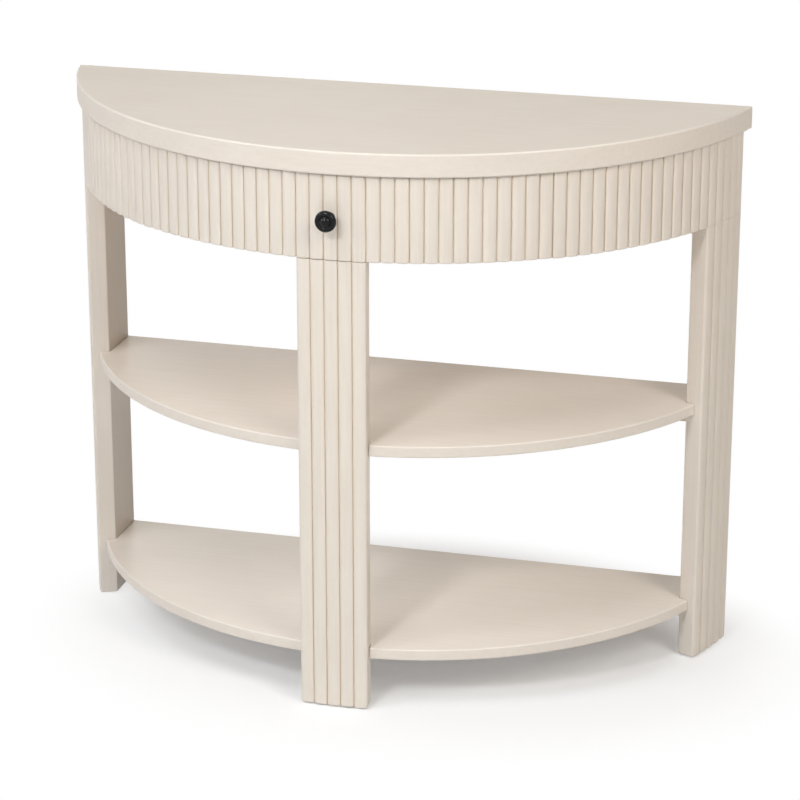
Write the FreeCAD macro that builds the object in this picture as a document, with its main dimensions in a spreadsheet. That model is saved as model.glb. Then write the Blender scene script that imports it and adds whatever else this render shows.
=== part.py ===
"""Half-moon console table: reeded apron with a drawer, three reeded legs and two shelves.

Millimetres. +Z is up, +X is the right side and the front faces -Y. The origin is on the floor, in the
middle of the table's width and of its depth with the knob. The plan is an arc whose centre lies behind the
straight back edge of the top. Angles on it are measured from the middle of the front, positive to the
right.
"""
import FreeCAD, Part
import math
import os
import re
import Sketcher

SIZES = {
    # Top and plan
    "table_height": 762,
    "top_radius": 486,
    "top_depth": 375,
    "top_thickness": 30.5,
    "top_edge_radius": 2.5,
    "top_overhang": 6,
    "back_inset": 5,
    # Apron and reeds
    "apron_height": 113.5,
    "apron_thickness": 19,
    "reed_height": 3.5,
    "reed_gap": 0.6,
    "apron_reed_count": 19,
    "drawer_reed_count": 31,
    "leg_reed_count": 5,
    # Legs and their glides
    "leg_thickness": 22,
    "glide_height": 2,
    "glide_radius": 9,
    "glide_inset": 14.5,
    "glide_pin_radius": 1.5,
    "glide_pin_length": 14,
    "glide_spread_share": 0.22,
    # Dowels between the side legs and the apron
    "dowel_radius": 4,
    "dowel_length": 40,
    "dowel_spread_share": 0.25,
    # Shelves
    "middle_shelf_height": 370,
    "lower_shelf_height": 85,
    "shelf_thickness": 15.5,
    "shelf_setback": 12,
    "shelf_edge_radius": 2,
    "notch_clearance": 0.8,
    # Carcass boards inside the apron
    "deck_thickness": 12,
    "back_rail_thickness": 19,
    "runner_thickness": 16,
    "runner_setback": 3,
    "runner_lip": 7.5,
    # Cleats between legs and boards
    "cleat_depth": 18,
    "cleat_height": 16,
    "front_cleat_length": 64,
    "side_cleat_length": 56,
    "cleat_outer_screw_share": 0.36,
    "cleat_inner_screw_share": 0.14,
    # Blocks under the top
    "block_length": 40,
    "block_depth": 20,
    "block_height": 25,
    "block_front_share": 0.3,
    "block_rear_share": 0.75,
    "rail_block_share": 0.76,
    # Drawer
    "drawer_seam": 0.8,
    "drawer_side_thickness": 12,
    "drawer_back_thickness": 12,
    "drawer_bottom_thickness": 6,
    "drawer_floor_gap": 5,
    "drawer_top_gap": 20,
    "drawer_back_room": 10,
    "corner_block_width": 20,
    "corner_block_depth": 20,
    "corner_screw_share": 0.25,
    # Drawer slides
    "slide_height": 35,
    "slide_gap": 12.7,
    "slide_side_room": 2.7,
    "slide_head_room": 2.4,
    "slide_wall": 1.2,
    "slide_running_gap": 0.4,
    "slide_setback": 4,
    "slide_screw_share": 0.4,
    # Knob
    "knob_radius": 14,
    "knob_stem_radius": 5.5,
    "knob_base_flange": 2,
    "knob_base_thickness": 2,
    "knob_flare_length": 2,
    "knob_stem_length": 4.5,
    "knob_swell_length": 5.5,
    "knob_shoulder_length": 3,
    "knob_rim_length": 5,
    "knob_bevel_length": 2.5,
    "knob_bevel_width": 2,
    "knob_ring_width": 3.5,
    "knob_dish_depth": 1.5,
    "knob_dish_gap": 1.5,
    "knob_dome_rise": 1.5,
    "knob_round": 1.2,
    # Screws
    "cleat_screw_radius": 2,
    "cleat_screw_head_radius": 4,
    "cleat_screw_head_depth": 2.6,
    "leg_screw_grip": 12,
    "board_screw_grip": 8,
    "runner_screw_grip": 18,
    "top_screw_grip": 17,
    "small_screw_radius": 1.5,
    "small_screw_head_radius": 3,
    "small_screw_head_depth": 1.6,
    "slide_screw_grip": 8,
    "bottom_screw_grip": 14,
    "corner_screw_grip": 12,
    "knob_screw_radius": 2,
    "knob_screw_head_radius": 4,
    "knob_screw_head_depth": 2.4,
    "knob_screw_sink": 0.8,
    "knob_screw_grip": 12,
    # Room for cutting shapes to pass what they cut
    "overrun": 20,
}

DERIVED = {
    # Knob, outwards from its seat, and its radii
    "knob_stem_start": "knob_base_thickness + knob_flare_length",
    "knob_stem_end": "knob_stem_start + knob_stem_length",
    "knob_swell_end": "knob_stem_end + knob_swell_length",
    "knob_rim_start": "knob_swell_end + knob_shoulder_length",
    "knob_rim_end": "knob_rim_start + knob_rim_length",
    "knob_face_level": "knob_rim_end + knob_bevel_length",
    "knob_dish_level": "knob_face_level - knob_dish_depth",
    "knob_reach": "knob_face_level + knob_dome_rise",
    "knob_base_radius": "knob_stem_radius + knob_base_flange",
    "knob_face_radius": "knob_radius - knob_bevel_width",
    "knob_dish_radius": "knob_face_radius - knob_ring_width",
    "knob_dome_radius": "knob_dish_radius - knob_dish_gap",
    # Plan: depth over all, back edge, arc centre and the radii on it
    "overall_depth": "top_depth - top_overhang + knob_reach",
    "back_edge": "overall_depth / 2",
    "centre": "back_edge + top_radius - top_depth",
    "crest_radius": "top_radius - top_overhang",
    "core_radius": "crest_radius - reed_height",
    "apron_inner": "core_radius - apron_thickness",
    "leg_inner": "core_radius - leg_thickness",
    "shelf_radius": "crest_radius - shelf_setback",
    "leg_back": "back_edge - back_inset",
    "rail_front": "leg_back - back_rail_thickness",
    # Heights
    "top_under": "table_height - top_thickness",
    "apron_bottom": "top_under - apron_height",
    "deck_top": "apron_bottom + deck_thickness",
    # Reeds, with angles in degrees
    "half_span": "acos((centre - leg_back) / core_radius) / 1 deg",
    "reed_count": "drawer_reed_count + 2 * apron_reed_count",
    "pitch_angle": "2 * half_span / reed_count",
    "reed_width": "2 * core_radius * sin(pitch_angle / 2) - reed_gap",
    "drawer_half_angle": "pitch_angle * drawer_reed_count / 2",
    "seam_half_angle": "asin(drawer_seam / (2 * core_radius)) / 1 deg",
    "leg_half_angle": "pitch_angle * leg_reed_count / 2",
    "side_leg_angle": "half_span - 2 * leg_half_angle",
    "notch_angle": "asin(notch_clearance / leg_inner) / 1 deg",
    # Side legs: the flat inner face and its middle
    "leg_plane": "leg_inner * sin(side_leg_angle)",
    "leg_front": "centre - leg_inner * cos(side_leg_angle)",
    "leg_middle": "(leg_front + leg_back) / 2",
    "dowel_circle": "core_radius - apron_thickness / 2",
    "leg_axis_angle": "half_span - leg_half_angle",
    # Runners beside the drawer's opening, and the drawer box between them
    "runner_inner": "apron_inner * sin(drawer_half_angle) - runner_lip",
    "runner_outer": "runner_inner + runner_thickness",
    "runner_front": "centre - apron_inner * cos(drawer_half_angle) + runner_setback",
    "runner_length": "rail_front - runner_front",
    "drawer_half": "runner_inner - slide_gap",
    "drawer_inside": "drawer_half - drawer_side_thickness",
    "drawer_underside": "deck_top + drawer_floor_gap",
    "drawer_side_bottom": "drawer_underside + drawer_bottom_thickness",
    "drawer_side_top": "top_under - drawer_top_gap",
    "drawer_side_height": "drawer_side_top - drawer_side_bottom",
    "corner_block_front": "centre - sqrt(apron_inner ^ 2 - drawer_inside ^ 2)",
    "corner_block_back": "corner_block_front + corner_block_depth",
    "corner_screw_across": "drawer_inside - corner_block_width / 2",
    "corner_screw_seat": "centre - sqrt(apron_inner ^ 2 - corner_screw_across ^ 2)",
    # Slides along their length and height
    "slide_front": "runner_front + slide_setback",
    "slide_back": "rail_front - drawer_back_room",
    "slide_length": "slide_back - slide_front",
    "slide_middle": "(slide_front + slide_back) / 2",
    "slide_level": "(drawer_side_bottom + drawer_side_top) / 2",
    # Slide members across their width, out from the drawer's side, and their half heights
    "slide_middle_start": "drawer_half + slide_wall + slide_running_gap",
    "slide_middle_end": "runner_inner - slide_wall - small_screw_head_depth - slide_head_room",
    "slide_inner_end": "slide_middle_end - slide_wall - slide_running_gap",
    "slide_outer_start": "drawer_half + slide_side_room",
    "slide_outer_half": "slide_height / 2",
    "slide_middle_half": "slide_outer_half - slide_wall - slide_running_gap",
    "slide_inner_half": "slide_middle_half - slide_wall - slide_running_gap",
    # Knob seat on the crest of the middle reed
    "knob_seat": "centre - crest_radius",
    "knob_level": "(apron_bottom + top_under) / 2",
}

# The front's direction about the plan's centre, in degrees from +X
FRONT_ANGLE = 270

doc = FreeCAD.newDocument("demilune_table")


def formula(text):
    """A formula as the document reads it: each alias gets the name of its sheet in front."""
    def with_sheet(word):
        alias = word.group(0)
        sheet = "Sizes." if alias in SIZES else "Derived." if alias in DERIVED else ""
        return sheet + alias
    return re.sub(r"[a-z][a-z0-9_]*", with_sheet, text)


def fill_sheet(name, cells):
    """A sheet with an alias in column A and its value or formula in column B."""
    sheet = doc.addObject("Spreadsheet::Sheet", name)
    for row, (alias, content) in enumerate(cells.items(), start=1):
        sheet.set(f"A{row}", alias)
        sheet.set(f"B{row}", content)
        sheet.setAlias(f"B{row}", alias)
    doc.recompute()
    return sheet


sizes = fill_sheet("Sizes", {alias: str(value) for alias, value in SIZES.items()})
fill_sheet("Derived", {alias: "=" + formula(text) for alias, text in DERIVED.items()})


def value(text):
    """The present value of a formula, for the starting shape of a sketch."""
    return float(sizes.evalExpression(formula(text)))


# Building blocks

UP = FreeCAD.Rotation()
FRONT = FreeCAD.Rotation(FreeCAD.Vector(1, 0, 0), 90)
RIGHT = FreeCAD.Rotation(FreeCAD.Vector(0, 1, 0), 90)
LEFT = FreeCAD.Rotation(FreeCAD.Vector(0, 1, 0), -90)


def add(kind, label):
    thing = doc.addObject(kind, label)
    thing.Label = label
    return thing


def bind(thing, **formulas):
    for name, text in formulas.items():
        thing.setExpression(name, formula(text))


def place(thing, x="0", y="0", z="0"):
    for axis, text in (("x", x), ("y", y), ("z", z)):
        thing.setExpression("Placement.Base." + axis, formula(text))


def box(label, x, y, z):
    """A board between two formulas along each axis."""
    board = add("Part::Box", label)
    for name, (low, high) in {"Length": x, "Width": y, "Height": z}.items():
        bind(board, **{name: f"({high}) - ({low})"})
    place(board, x[0], y[0], z[0])
    return board


def drum(label, radius, z):
    """A full round about the plan's centre."""
    whole = add("Part::Cylinder", label)
    bind(whole, Radius=radius, Height=f"({z[1]}) - ({z[0]})")
    place(whole, y="centre", z=z[0])
    return whole


def sector(label, radius, angles, z):
    """A slice of a round about the plan's centre, between two angles from the middle of the front."""
    start, end = angles
    piece = drum(label, radius, z)
    bind(piece, Angle=f"({end}) - ({start})")
    piece.setExpression("Placement.Rotation.Angle", formula(f"{FRONT_ANGLE} + ({start})"))
    return piece


def cut(label, base, *tools):
    """The base less each tool in turn."""
    for number, tool in enumerate(tools, start=1):
        last = number == len(tools)
        piece = add("Part::Cut", label if last else f"{label}_cut_{number}")
        piece.Base = base
        piece.Tool = tool
        base = piece
    return base


def common(label, *shapes):
    piece = add("Part::MultiCommon", label)
    piece.Shapes = list(shapes)
    return piece


def fuse(label, *shapes):
    piece = add("Part::MultiFuse", label)
    piece.Shapes = list(shapes)
    return piece


def group(label, pieces):
    """Separate like pieces kept as one sub-part."""
    together = add("Part::Compound", label)
    together.Links = list(pieces)
    return together


def arc_board(label, radius, thickness, angles, z):
    """A board bent to the plan's arc, with radial ends."""
    outer = sector(label + "_outer", radius, angles, z)
    inner = drum(label + "_inner", f"{radius} - ({thickness})", z)
    return cut(label, outer, inner)


def peg(label, radius, length, at, rotation):
    """A round bar that starts at a point and runs along one direction."""
    bar = add("Part::Cylinder", label)
    bar.Placement = FreeCAD.Placement(FreeCAD.Vector(), rotation)
    bind(bar, Radius=radius, Height=length)
    place(bar, *at)
    return bar


def screw(label, size, length, at, rotation):
    """A countersunk screw: `at` is the middle of its head's face."""
    head = add("Part::Cone", label + "_head")
    head.Placement = FreeCAD.Placement(FreeCAD.Vector(), rotation)
    bind(head, Radius1=f"{size}_head_radius", Radius2=f"{size}_radius", Height=f"{size}_head_depth")
    place(head, *at)
    return fuse(label, head, peg(label + "_shank", f"{size}_radius", length, at, rotation))


def round_head_screw(label, size, length, at, rotation):
    """A screw whose head stands on the surface: `at` is the middle of its head's face."""
    head = peg(label + "_head", f"{size}_head_radius", f"{size}_head_depth", at, rotation)
    return fuse(label, head, peg(label + "_shank", f"{size}_radius", length, at, rotation))


def mirrored(pair):
    """The same stretch on the other side of the middle."""
    low, high = pair
    return f"-({high})", f"-({low})"


def on_side(side, pair):
    return pair if side == "right" else mirrored(pair)


def signed(side, text):
    return text if side == "right" else f"-({text})"


SIDES = {"left": LEFT, "right": RIGHT}


# Sketched pieces

def start_sketch(body, plane):
    sketch = body.newObject("Sketcher::SketchObject", body.Label + "_sketch")
    support = [feature for feature in body.Origin.OriginFeatures if feature.Role == plane]
    sketch.AttachmentSupport = [(support[0], "")]
    sketch.MapMode = "FlatFace"
    return sketch


def dimension(sketch, text, *constraint):
    """A driving dimension of a sketch, bound to a formula."""
    index = sketch.addConstraint(Sketcher.Constraint(*constraint, value(text)))
    sketch.setExpression(f"Constraints[{index}]", formula(text))


# How sketches number their lines, the points of a line or an arc, and their own axes
ARC_INDEX, CHORD_INDEX = 0, 1
START_INDEX, END_INDEX, MIDDLE_INDEX = 1, 2, 3
AXIS_X_INDEX, ORIGIN_INDEX = -1, 1


def arc_and_chord(sketch, arc, chord):
    """Closes an arc with a straight line between its ends."""
    sketch.addGeometry(arc, False)
    sketch.addGeometry(chord, False)
    sketch.addConstraint(Sketcher.Constraint("Coincident", ARC_INDEX, START_INDEX, CHORD_INDEX, START_INDEX))
    sketch.addConstraint(Sketcher.Constraint("Coincident", ARC_INDEX, END_INDEX, CHORD_INDEX, END_INDEX))


def pad_height(body, sketch, height):
    pad = body.newObject("PartDesign::Pad", body.Label + "_pad")
    pad.Profile = sketch
    bind(pad, Length=height)
    doc.recompute()
    return pad


def half_moon(label, radius, setback, z, edge_radius):
    """A half-moon board. The straight edge lies in front of the arc's centre by setback, and every edge of
    its two faces is rounded."""
    low, high = z
    body = add("PartDesign::Body", label)
    place(body, y="centre", z=low)
    sketch = start_sketch(body, "XY_Plane")
    rounded, back = value(radius), value(setback)
    reach = (rounded ** 2 - back ** 2) ** 0.5
    left = FreeCAD.Vector(-reach, -back)
    right = FreeCAD.Vector(reach, -back)
    front = FreeCAD.Vector(0, -rounded)
    arc_and_chord(sketch, Part.Arc(left, front, right), Part.LineSegment(left, right))
    sketch.addConstraint(Sketcher.Constraint("Coincident", ARC_INDEX, MIDDLE_INDEX,
                                             AXIS_X_INDEX, ORIGIN_INDEX))
    sketch.addConstraint(Sketcher.Constraint("Horizontal", CHORD_INDEX))
    dimension(sketch, radius, "Radius", ARC_INDEX)
    dimension(sketch, setback, "DistanceY", CHORD_INDEX, START_INDEX, AXIS_X_INDEX, ORIGIN_INDEX)
    pad = pad_height(body, sketch, f"({high}) - ({low})")
    level_edges = [
        f"Edge{number}" for number, edge in enumerate(pad.Shape.Edges, start=1)
        if edge.BoundBox.ZLength < edge.Length / 2
    ]
    rounding = body.newObject("PartDesign::Fillet", label + "_rounding")
    rounding.Base = (pad, level_edges)
    bind(rounding, Radius=edge_radius)
    body.Tip = rounding
    return body


# How the reed's sketch numbers the lines round its section
BASE_INDEX, UPPER_ROUND_INDEX, FACE_INDEX, LOWER_ROUND_INDEX = 0, 1, 2, 3


def reed_section(sketch):
    """A strip that is flat on its base and its face, with a quarter-round edge on each side of the face."""
    base, face = value("core_radius"), value("crest_radius")
    edge, bend = value("reed_width / 2"), value("reed_height")
    upper = [FreeCAD.Vector(face, edge - bend), FreeCAD.Vector(base, edge)]
    lower = [FreeCAD.Vector(base, -edge), FreeCAD.Vector(face, bend - edge)]
    outwards = FreeCAD.Vector(0, 0, 1)
    bends = [Part.Circle(FreeCAD.Vector(base, side * (edge - bend)), outwards, bend) for side in (1, -1)]
    sketch.addGeometry(Part.LineSegment(lower[0], upper[1]), False)
    sketch.addGeometry(Part.ArcOfCircle(bends[0], 0, math.pi / 2), False)
    sketch.addGeometry(Part.LineSegment(lower[1], upper[0]), False)
    sketch.addGeometry(Part.ArcOfCircle(bends[1], -math.pi / 2, 0), False)
    for rule in (
        ("Coincident", BASE_INDEX, END_INDEX, UPPER_ROUND_INDEX, END_INDEX),
        ("Coincident", BASE_INDEX, START_INDEX, LOWER_ROUND_INDEX, START_INDEX),
        ("Tangent", FACE_INDEX, END_INDEX, UPPER_ROUND_INDEX, START_INDEX),
        ("Tangent", FACE_INDEX, START_INDEX, LOWER_ROUND_INDEX, END_INDEX),
        ("PointOnObject", UPPER_ROUND_INDEX, MIDDLE_INDEX, BASE_INDEX),
        ("PointOnObject", LOWER_ROUND_INDEX, MIDDLE_INDEX, BASE_INDEX),
        ("Symmetric", BASE_INDEX, START_INDEX, BASE_INDEX, END_INDEX, AXIS_X_INDEX),
    ):
        sketch.addConstraint(Sketcher.Constraint(*rule))
    dimension(sketch, "reed_height", "Radius", UPPER_ROUND_INDEX)
    dimension(sketch, "reed_height", "Radius", LOWER_ROUND_INDEX)
    dimension(sketch, "core_radius", "DistanceX", AXIS_X_INDEX, ORIGIN_INDEX, BASE_INDEX, START_INDEX)
    dimension(sketch, "reed_width", "DistanceY", BASE_INDEX, START_INDEX, BASE_INDEX, END_INDEX)


def reeds(label, count, first_angle, z):
    """Reed strips side by side on the arc, one pitch apart, each flat on the board behind it."""
    low, high = z
    body = add("PartDesign::Body", label)
    body.AllowCompound = True
    place(body, y="centre", z=low)
    body.setExpression("Placement.Rotation.Angle", formula(f"{FRONT_ANGLE} + ({first_angle})"))
    sketch = start_sketch(body, "XY_Plane")
    reed_section(sketch)
    pad = pad_height(body, sketch, f"({high}) - ({low})")
    row = body.newObject("PartDesign::PolarPattern", label + "_row")
    row.Originals = [pad]
    row.Axis = (sketch, ["N_Axis"])
    row.Mode = "Spacing"
    bind(row, Offset="pitch_angle", Occurrences=count)
    body.Tip = row
    return body


def turned(label, profile, at, rotation, rounded_beyond, round_radius):
    """A piece turned on a lathe: the profile's points are (radius, height) formulas that start and end on the
    axis. Its edges further out than rounded_beyond are rounded."""
    body = add("PartDesign::Body", label)
    body.Placement = FreeCAD.Placement(FreeCAD.Vector(), rotation)
    place(body, *at)
    sketch = start_sketch(body, "XZ_Plane")
    corners = [FreeCAD.Vector(value(radius), value(height)) for radius, height in profile]
    for number, corner in enumerate(corners):
        sketch.addGeometry(Part.LineSegment(corner, corners[(number + 1) % len(corners)]), False)
    for number, (radius, height) in enumerate(profile):
        previous = (number - 1) % len(profile)
        sketch.addConstraint(Sketcher.Constraint("Coincident", previous, END_INDEX, number, START_INDEX))
        dimension(sketch, radius, "DistanceX", AXIS_X_INDEX, ORIGIN_INDEX, number, START_INDEX)
        dimension(sketch, height, "DistanceY", AXIS_X_INDEX, ORIGIN_INDEX, number, START_INDEX)
    turning = body.newObject("PartDesign::Revolution", label + "_turning")
    turning.Profile = sketch
    turning.ReferenceAxis = (sketch, ["V_Axis"])
    doc.recompute()
    round_edges = [
        f"Edge{number}" for number, edge in enumerate(turning.Shape.Edges, start=1)
        if isinstance(edge.Curve, Part.Circle) and edge.Curve.Radius > value(rounded_beyond)
    ]
    rounding = body.newObject("PartDesign::Fillet", label + "_rounding")
    rounding.Base = (turning, round_edges)
    bind(rounding, Radius=round_radius)
    body.Tip = rounding
    return body


# Heights and angles that several pieces share

LEG_HEIGHT = ("glide_height", "apron_bottom")
APRON_HEIGHT = ("apron_bottom", "top_under")
DRAWER_SIDE_HEIGHT = ("drawer_side_bottom", "drawer_side_top")
SIDE_APRON = ("drawer_half_angle + seam_half_angle", "half_span")
SIDE_LEG = ("side_leg_angle", "half_span")
FRONT_LEG = ("-leg_half_angle", "leg_half_angle")
BEYOND = ("-(top_radius + overrun)", "top_radius + overrun")
IN_FRONT_OF_LEG_BACK = ("centre - top_radius - overrun", "leg_back")
BOARD_HEIGHTS = {
    "deck": ("apron_bottom", "deck_top"),
    "middle_shelf": ("middle_shelf_height - shelf_thickness", "middle_shelf_height"),
    "lower_shelf": ("lower_shelf_height - shelf_thickness", "lower_shelf_height"),
}
LEGS = ("left", "front", "right")

parts = []


def keep(piece):
    """Lists a finished sub-part for export."""
    parts.append(piece)
    return piece


# Fasteners of the legs, cleats and boards

def cleat_screw_rows():
    """Screws through each cleat: two into the leg behind it and two up into the board on it."""
    into_legs, into_boards = [], []
    into_leg, into_board = "cleat_depth + leg_screw_grip", "cleat_height + board_screw_grip"
    for board, (underside, _) in BOARD_HEIGHTS.items():
        middle_level = f"{underside} - cleat_height / 2"
        lower_level = f"{underside} - cleat_height"
        for leg in LEGS:
            for end, sign in (("a", "-"), ("b", "+")):
                name = f"{board}_{leg}_{end}"
                if leg == "front":
                    outer = f"{sign}front_cleat_length * cleat_outer_screw_share"
                    inner = f"{sign}front_cleat_length * cleat_inner_screw_share"
                    outer_at = (outer, "centre - leg_inner + cleat_depth", middle_level)
                    upward_at = (inner, "centre - leg_inner + cleat_depth / 2", lower_level)
                    towards_leg = FRONT
                else:
                    outer = f"leg_middle {sign} side_cleat_length * cleat_outer_screw_share"
                    inner = f"leg_middle {sign} side_cleat_length * cleat_inner_screw_share"
                    outer_at = (signed(leg, "leg_plane - cleat_depth"), outer, middle_level)
                    upward_at = (signed(leg, "leg_plane - cleat_depth / 2"), inner, lower_level)
                    towards_leg = SIDES[leg]
                into_legs.append(screw("leg_screw_" + name, "cleat_screw", into_leg, outer_at, towards_leg))
                into_boards.append(screw("board_screw_" + name, "cleat_screw", into_board, upward_at, UP))
    return group("cleat_leg_screws", into_legs), group("cleat_board_screws", into_boards)


def glide_row():
    """Round glides under the legs, each with a pin driven into the leg."""
    glides = []
    for leg in LEGS:
        for end, sign in (("a", "-"), ("b", "+")):
            if leg == "front":
                across = f"{sign}leg_inner * sin(2 * leg_half_angle * glide_spread_share)"
                along = "centre - core_radius + leg_thickness / 2"
            else:
                across = signed(leg, "leg_plane + glide_inset")
                along = f"leg_middle {sign} (leg_back - leg_front) * glide_spread_share"
            name = f"glide_{leg}_{end}"
            foot = peg(name + "_foot", "glide_radius", "glide_height", (across, along, "0"), UP)
            pin_length = "glide_height + glide_pin_length"
            pin = peg(name + "_pin", "glide_pin_radius", pin_length, (across, along, "0"), UP)
            glides.append(fuse(name, foot, pin))
    return group("foot_glides", glides)


def dowel_row():
    """Dowels that stand half in a side leg and half in the apron board on it."""
    dowels = []
    for side in SIDES:
        for end, sign in (("a", "-"), ("b", "+")):
            angle = f"(leg_axis_angle {sign} 2 * leg_half_angle * dowel_spread_share)"
            at = (signed(side, f"dowel_circle * sin{angle}"), f"centre - dowel_circle * cos{angle}",
                  "apron_bottom - dowel_length / 2")
            dowels.append(peg(f"dowel_{side}_{end}", "dowel_radius", "dowel_length", at, UP))
    return group("leg_dowels", dowels)


cleat_leg_screws, cleat_board_screws = (keep(row) for row in cleat_screw_rows())
foot_glides = keep(glide_row())
leg_dowels = keep(dowel_row())


# Legs: a post with a curved face, flat sides and reeds on the face

def legs():
    post = arc_board("front_leg_post", "core_radius", "leg_thickness", FRONT_LEG, LEG_HEIGHT)
    keep(cut("front_leg_core", post, cleat_leg_screws, foot_glides))
    keep(reeds("front_leg_reeds", "leg_reed_count", "-leg_half_angle + pitch_angle / 2", LEG_HEIGHT))
    first_reed = {"left": "-half_span + pitch_angle / 2", "right": "side_leg_angle + pitch_angle / 2"}
    for side in SIDES:
        slice_ = sector(f"{side}_leg_slice", "core_radius", on_side(side, SIDE_LEG), LEG_HEIGHT)
        outside = on_side(side, ("leg_plane", "top_radius"))
        stock = box(f"{side}_leg_stock", outside, IN_FRONT_OF_LEG_BACK, LEG_HEIGHT)
        post = common(f"{side}_leg_post", slice_, stock)
        keep(cut(f"{side}_leg_core", post, cleat_leg_screws, foot_glides, leg_dowels))
        keep(reeds(f"{side}_leg_reeds", "leg_reed_count", first_reed[side], LEG_HEIGHT))


# Apron: a bent board on each side of the drawer, reeded to the back edge

def apron():
    first_reed = {"left": "-half_span + pitch_angle / 2", "right": "drawer_half_angle + pitch_angle / 2"}
    for side in SIDES:
        angles = on_side(side, SIDE_APRON)
        bent = arc_board(f"{side}_apron_bend", "core_radius", "apron_thickness", angles, APRON_HEIGHT)
        stock = box(f"{side}_apron_stock", BEYOND, IN_FRONT_OF_LEG_BACK, APRON_HEIGHT)
        keep(cut(f"{side}_apron_core", common(f"{side}_apron_fitted", bent, stock), leg_dowels))
        keep(reeds(f"{side}_apron_reeds", "apron_reed_count", first_reed[side], APRON_HEIGHT))


# Carcass boards, the blocks under the top and their screws

def runner_screw_row():
    """Screws from under the deck up into the runner panels."""
    screws = []
    for side in SIDES:
        for end, share in (("a", "block_front_share"), ("b", "block_rear_share")):
            across = signed(side, "(runner_inner + runner_outer) / 2")
            at = (across, f"runner_front + runner_length * {share}", "apron_bottom")
            length = "deck_thickness + runner_screw_grip"
            screws.append(screw(f"runner_screw_{side}_{end}", "cleat_screw", length, at, UP))
    return group("runner_screws", screws)


def top_block_places():
    """Block boxes: two on the outside of each runner panel and one on each side of the back rail."""
    for side in SIDES:
        for end, share in (("front", "block_front_share"), ("rear", "block_rear_share")):
            middle = f"runner_front + runner_length * {share}"
            x = on_side(side, ("runner_outer", "runner_outer + block_depth"))
            yield f"{side}_{end}", x, (f"{middle} - block_length / 2", f"{middle} + block_length / 2")
        middle = "apron_inner * rail_block_share"
        x = on_side(side, (f"{middle} - block_length / 2", f"{middle} + block_length / 2"))
        yield f"{side}_rail", x, ("rail_front - block_depth", "rail_front")


def carcass():
    blocks, screws = [], []
    block_height = ("top_under - block_height", "top_under")
    for name, x, y in top_block_places():
        blocks.append(box("block_" + name, x, y, block_height))
        at = (f"(({x[0]}) + ({x[1]})) / 2", f"(({y[0]}) + ({y[1]})) / 2", block_height[0])
        screws.append(screw("top_screw_" + name, "cleat_screw", "block_height + top_screw_grip", at, UP))
    top_screws = keep(group("top_screws", screws))
    keep(cut("top_blocks", group("top_block_row", blocks), top_screws))

    top_height = ("top_under", "table_height")
    top = half_moon("top_board", "top_radius", "centre - back_edge", top_height, "top_edge_radius")
    keep(cut("top_panel", top, top_screws))

    rail = box("back_rail_stock", BEYOND, ("rail_front", "leg_back"), APRON_HEIGHT)
    keep(common("back_rail", rail, drum("back_rail_fit", "apron_inner", APRON_HEIGHT)))

    runner_screws = keep(runner_screw_row())
    deck_height = BOARD_HEIGHTS["deck"]
    deck_stock = box("deck_stock", BEYOND, ("centre - apron_inner", "rail_front"), deck_height)
    deck_round = common("deck_round", deck_stock, drum("deck_fit", "apron_inner", deck_height))
    drawer_room = arc_board("deck_drawer_room", "apron_inner", "drawer_seam",
                            ("-drawer_half_angle", "drawer_half_angle"), deck_height)
    keep(cut("deck", deck_round, drawer_room, cleat_board_screws, runner_screws))

    runner_height = ("deck_top", "top_under")
    for side in SIDES:
        across = on_side(side, ("runner_inner", "runner_outer"))
        stock = box(f"{side}_runner_stock", across, ("runner_front", "rail_front"), runner_height)
        curve = drum(f"{side}_runner_fit", "apron_inner", runner_height)
        fitted = common(f"{side}_runner_fitted", stock, curve)
        keep(cut(f"{side}_runner_panel", fitted, runner_screws, frame_slide_screws))


# Shelves, notched round the legs

def leg_notches(board, z):
    room = arc_board(f"{board}_front_notch", "top_radius", "top_radius - leg_inner + notch_clearance",
                     ("-leg_half_angle - notch_angle", "leg_half_angle + notch_angle"), z)
    notches = [room]
    for side in SIDES:
        beside = sector(f"{board}_{side}_notch_slice", "top_radius",
                        on_side(side, ("side_leg_angle - notch_angle", "half_span + leg_half_angle")), z)
        across = on_side(side, ("leg_plane - notch_clearance", "top_radius"))
        outside = box(f"{board}_{side}_notch_stock", across, ("centre - top_radius", "centre"), z)
        notches.append(common(f"{board}_{side}_notch", beside, outside))
    return notches


def shelves():
    for board in ("middle_shelf", "lower_shelf"):
        z = BOARD_HEIGHTS[board]
        blank = half_moon(board + "_blank", "shelf_radius", "centre - leg_back", z, "shelf_edge_radius")
        keep(cut(board, blank, *leg_notches(board, z), cleat_board_screws))


def cleats():
    """Cleats on the legs' inner faces, one under each board."""
    for board, (underside, _) in BOARD_HEIGHTS.items():
        z = (f"{underside} - cleat_height", underside)
        for leg in LEGS:
            name = f"{leg}_{board}_cleat"
            if leg == "front":
                stock = box(name + "_stock", ("-front_cleat_length / 2", "front_cleat_length / 2"),
                            ("centre - leg_inner", "centre - leg_inner + cleat_depth"), z)
                bar = common(name + "_bar", stock, drum(name + "_fit", "leg_inner", z))
            else:
                bar = box(name + "_bar", on_side(leg, ("leg_plane - cleat_depth", "leg_plane")),
                          ("leg_middle - side_cleat_length / 2", "leg_middle + side_cleat_length / 2"), z)
            keep(cut(name, bar, cleat_leg_screws, cleat_board_screws))


# Drawer slides: three channels on each side, one inside the other

def slide_screw_row(name, at_depth, rotations):
    """Two screws on each side. `at_depth` is the face of their heads, and each side has its own direction."""
    screws = []
    length = "small_screw_head_depth + slide_wall + slide_screw_grip"
    for side, rotation in rotations.items():
        for end, sign in (("a", "-"), ("b", "+")):
            along = f"slide_middle {sign} slide_length * slide_screw_share"
            at = (signed(side, at_depth), along, "slide_level")
            screws.append(round_head_screw(f"{name}_{side}_{end}", "small_screw", length, at, rotation))
    return group(name, screws)


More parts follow.
